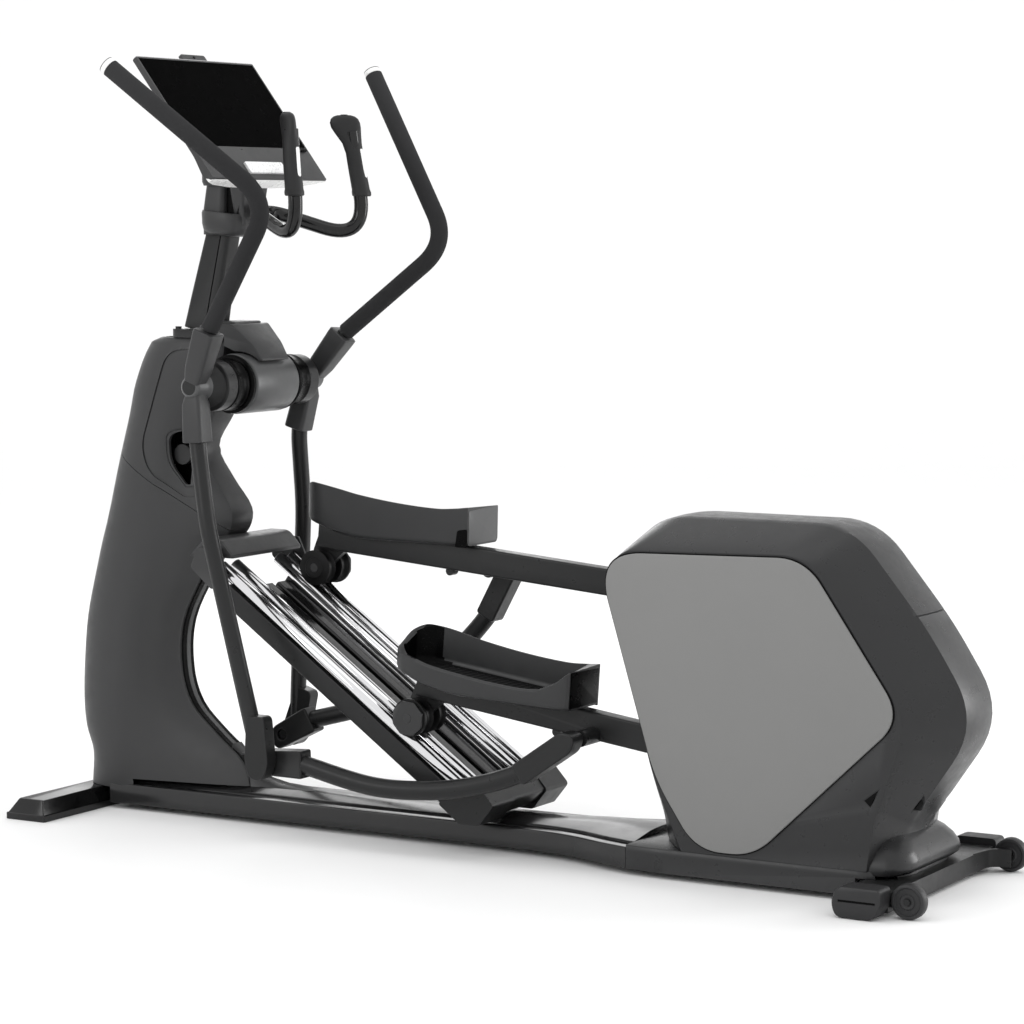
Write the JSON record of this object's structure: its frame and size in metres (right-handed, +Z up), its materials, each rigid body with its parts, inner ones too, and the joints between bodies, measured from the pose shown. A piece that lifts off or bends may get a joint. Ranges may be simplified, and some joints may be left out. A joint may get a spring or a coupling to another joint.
{
  "type": "elliptical trainer",
  "caption": "Rear-drive elliptical trainer: inclined roller track on a column, pedal arms and swing arms linked to a crank housing, with a console on a mast.",
  "frame": {"origin": "on the floor, below the middle of the whole machine", "axes": "+X towards the crank housing at the rear, +Y to the user's right, +Z up"},
  "size_m": [2.0327, 0.6938, 1.5747],
  "materials": {
    "frame_paint": "satin dark grey paint",
    "shell_plastic": "satin charcoal moulded plastic",
    "hub_casting": "painted grey casting",
    "pulley_metal": "machined",
    "bright_steel": "ground steel",
    "flywheel_iron": "machined iron",
    "belt_rubber": "ribbed belt",
    "rail_chrome": "polished chrome",
    "silver_panel": "silver satin paint on plastic",
    "screen_gloss": "black glass-like front",
    "console_shell": "dark shell with pale trim",
    "foam": "closed cell foam",
    "pedal_plastic": "satin moulded plastic",
    "grip_rubber": "soft grip",
    "button_plastic": "moulded button",
    "roller_rubber": "dense polyurethane",
    "trim_rubber": "moulded rubber"
  },
  "bodies": {
    "frame": {"front_foot": "frame_paint", "base_frame": "frame_paint", "base_cover_front": "shell_plastic", "base_cover_rear": "shell_plastic", "rear_bar": "frame_paint", "column_post": "frame_paint", "column_shroud_lower": "shell_plastic", "column_shroud_upper": "shell_plastic", "pivot_housing": "hub_casting", "pivot_axle": "bright_steel", "pivot_hood": "shell_plastic", "mast": "frame_paint", "console_back": "console_shell", "console_screen": "screen_gloss", "console_camera": "shell_plastic", "console_neck": "shell_plastic", "handlebar": "frame_paint", "track_channel": "frame_paint", "track_top_cover": "frame_paint", "track_foot": "frame_paint", "drive_belt": "belt_rubber", "housing_cover_upper": "shell_plastic", "housing_cover_lower": "shell_plastic", "rear_end_cap_left": "trim_rubber", "column_side_panel_left": "shell_plastic", "static_grip_left": "grip_rubber", "rail_inner_left": "rail_chrome", "rail_outer_left": "rail_chrome", "track_beam_left": "frame_paint", "housing_plate_left": "silver_panel", "rear_end_cap_right": "trim_rubber", "column_side_panel_right": "shell_plastic", "static_grip_right": "grip_rubber", "rail_inner_right": "rail_chrome", "rail_outer_right": "rail_chrome", "track_beam_right": "frame_paint", "housing_plate_right": "silver_panel"},
    "crank": {"crank_axle": "bright_steel", "crank_arm_left": "frame_paint", "crank_arm_right": "frame_paint", "drive_pulley": "pulley_metal"},
    "flywheel": {"flywheel": "flywheel_iron"},
    "left_axle": {"roller_axle_left": "bright_steel"},
    "left_rollers": {"roller_set_left": "roller_rubber"},
    "left_pedal_arm": {"pedal_arm_left": "frame_paint", "pedal_left": "pedal_plastic"},
    "left_swing_arm": {"swing_arm_left": "frame_paint", "foam_grip_left": "foam"},
    "left_link": {"link_left": "frame_paint"},
    "left_wheel": {"transport_wheel_left": "trim_rubber"},
    "left_button": {"thumb_button_left": "button_plastic"},
    "right_axle": {"roller_axle_right": "bright_steel"},
    "right_rollers": {"roller_set_right": "roller_rubber"},
    "right_pedal_arm": {"pedal_arm_right": "frame_paint", "pedal_right": "pedal_plastic"},
    "right_swing_arm": {"swing_arm_right": "frame_paint", "foam_grip_right": "foam"},
    "right_link": {"link_right": "frame_paint"},
    "right_wheel": {"transport_wheel_right": "trim_rubber"},
    "right_button": {"thumb_button_right": "button_plastic"}
  },
  "joints": [
    {"name": "left_track_slide", "type": "slide", "parent": "frame", "child": "left_axle", "axis": [0.8171, 0, -0.5764], "range_m": [-0.48, 0.04]},
    {"name": "right_track_slide", "type": "slide", "parent": "frame", "child": "right_axle", "axis": [0.8171, 0, -0.5764], "range_m": [-0.04, 0.48]},
    {"name": "left_arm_tilt", "type": "hinge", "parent": "left_axle", "child": "left_pedal_arm", "pos_m": [-0.12388, 0, 0.26084], "axis": [0, 1, 0], "range_deg": [-0.7, 7.9]},
    {"name": "left_roller_spin", "type": "hinge", "parent": "left_axle", "child": "left_rollers", "pos_m": [-0.12388, 0, 0.26084], "axis": [0, 1, 0], "range_deg": [-905, 78]},
    {"name": "left_swing", "type": "hinge", "parent": "frame", "child": "left_swing_arm", "pos_m": [-0.5895, 0, 0.903], "axis": [0, 1, 0], "range_deg": [-2.1, 24.3]},
    {"name": "left_link_pivot", "type": "hinge", "parent": "left_swing_arm", "child": "left_link", "pos_m": [-0.41459, 0, 0.15691], "axis": [0, 1, 0], "range_deg": [-45.5, 3.9]},
    {"name": "right_arm_tilt", "type": "hinge", "parent": "right_axle", "child": "right_pedal_arm", "pos_m": [-0.48791, 0, 0.51764], "axis": [0, 1, 0], "range_deg": [-7.9, 0.7]},
    {"name": "right_roller_spin", "type": "hinge", "parent": "right_axle", "child": "right_rollers", "pos_m": [-0.48791, 0, 0.51764], "axis": [0, 1, 0], "range_deg": [-78, 905]},
    {"name": "right_swing", "type": "hinge", "parent": "frame", "child": "right_swing_arm", "pos_m": [-0.5895, 0, 0.903], "axis": [0, 1, 0], "range_deg": [-20.4, 1.8]},
    {"name": "right_link_pivot", "type": "hinge", "parent": "right_swing_arm", "child": "right_link", "pos_m": [-0.64971, 0, 0.13905], "axis": [0, 1, 0], "range_deg": [-3.7, 42.6]},
    {"name": "crank_turn", "type": "hinge", "parent": "frame", "child": "crank", "pos_m": [0.6635, 0, 0.348], "axis": [0, 1, 0], "continuous": true},
    {"name": "flywheel_spin", "type": "hinge", "parent": "frame", "child": "flywheel", "pos_m": [0.858, 0, 0.372], "axis": [0, 1, 0], "continuous": true},
    {"name": "left_wheel_spin", "type": "hinge", "parent": "frame", "child": "left_wheel", "pos_m": [0.984, -0.244, 0.033], "axis": [0, 1, 0], "continuous": true},
    {"name": "left_button_press", "type": "slide", "parent": "frame", "child": "left_button", "axis": [0, 0, -1], "range_m": [0, 0.003], "stiffness_N_per_m": 400},
    {"name": "right_wheel_spin", "type": "hinge", "parent": "frame", "child": "right_wheel", "pos_m": [0.984, 0.244, 0.033], "axis": [0, 1, 0], "continuous": true},
    {"name": "right_button_press", "type": "slide", "parent": "frame", "child": "right_button", "axis": [0, 0, -1], "range_m": [0, 0.003], "stiffness_N_per_m": 400}
  ],
  "couplings": [
    {"joint": "right_track_slide", "follows": "left_track_slide", "ratio": -1},
    {"joint": "left_arm_tilt", "follows": "left_track_slide", "rad_per_m": -0.285},
    {"joint": "left_roller_spin", "follows": "left_track_slide", "rad_per_m": 32.8},
    {"joint": "left_swing", "follows": "left_track_slide", "rad_per_m": -0.8806},
    {"joint": "left_link_pivot", "follows": "left_track_slide", "rad_per_m": 1.651},
    {"joint": "right_arm_tilt", "follows": "left_track_slide", "rad_per_m": 0.285},
    {"joint": "right_roller_spin", "follows": "left_track_slide", "rad_per_m": -32.8},
    {"joint": "right_swing", "follows": "left_track_slide", "rad_per_m": 0.7379},
    {"joint": "right_link_pivot", "follows": "left_track_slide", "rad_per_m": -1.5468},
    {"joint": "flywheel_spin", "follows": "crank_turn", "ratio": 4.8}
  ]
}
